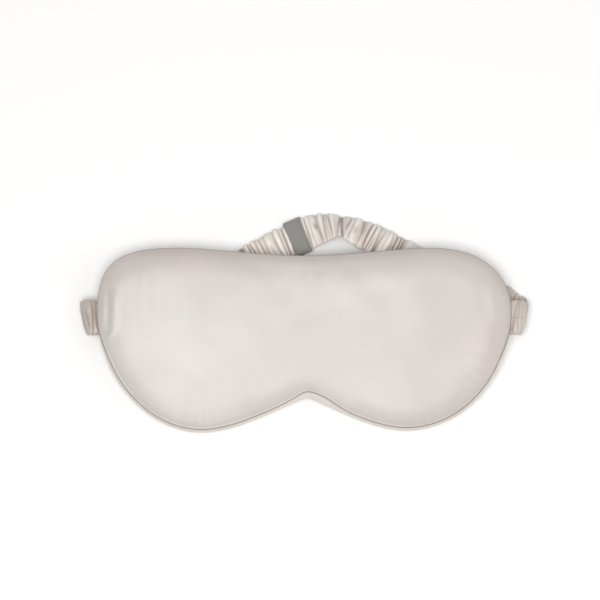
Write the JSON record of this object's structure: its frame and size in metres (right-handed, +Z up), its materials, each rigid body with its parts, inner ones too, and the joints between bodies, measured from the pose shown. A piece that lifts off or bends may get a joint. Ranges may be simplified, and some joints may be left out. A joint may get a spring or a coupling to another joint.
{
  "type": "sleep eye mask",
  "caption": "Padded satin sleep mask with a shaped nose notch, flat folded strap ends and a gathered satin head strap over elastic, with a small plain woven label.",
  "frame": {"origin": "on the surface the mask lies on, under the middle of its bounding box", "axes": "+X to the right across the mask as seen from its front, +Y towards its brow edge and the strap's back, +Z up out of the front panel"},
  "size_m": [0.2328, 0.1153, 0.0165],
  "materials": {
    "satin_face": "pale silver satin, soft sheen",
    "satin_back": "pale silver satin, soft sheen",
    "satin_strap": "gathered champagne satin with a soft sheen",
    "wadding": "matt polyester wadding",
    "lining": "matt black woven lining",
    "elastic": "matt ribbed elastic",
    "thread": "fine polyester thread, slight sheen",
    "label": "plain grey woven tape, matt"
  },
  "bodies": {
    "strap_back": {"casing_back": "satin_strap", "elastic_back": "elastic", "casing_seam_back": "thread", "woven_label": "label", "label_stitching": "thread"},
    "strap_sides": {"casing_left": "satin_strap", "casing_right": "satin_strap", "elastic_left": "elastic", "elastic_right": "elastic", "casing_seam_left": "thread", "casing_seam_right": "thread"},
    "pad": {"front_panel": "satin_face", "front_wadding": "wadding", "blackout_lining": "lining", "seam_allowance": "satin_back", "back_wadding": "wadding", "back_panel": "satin_back", "edge_stitching": "thread", "strap_end_left": "satin_strap", "strap_end_right": "satin_strap", "end_elastic_left": "elastic", "end_elastic_right": "elastic", "bar_tack_left": "thread", "bar_tack_right": "thread"}
  },
  "joints": [
    {"name": "strap_pull", "type": "slide", "parent": "strap_back", "child": "strap_sides", "axis": [0, -1, 0], "range_m": [0, 0.035], "stiffness_N_per_m": 60},
    {"name": "loop_open", "type": "slide", "parent": "strap_sides", "child": "pad", "axis": [0, 0, 1], "range_m": [0, 0.12], "stiffness_N_per_m": 40, "deforming": ["casing_left", "casing_right", "elastic_left", "elastic_right", "casing_seam_left", "casing_seam_right"]}
  ]
}
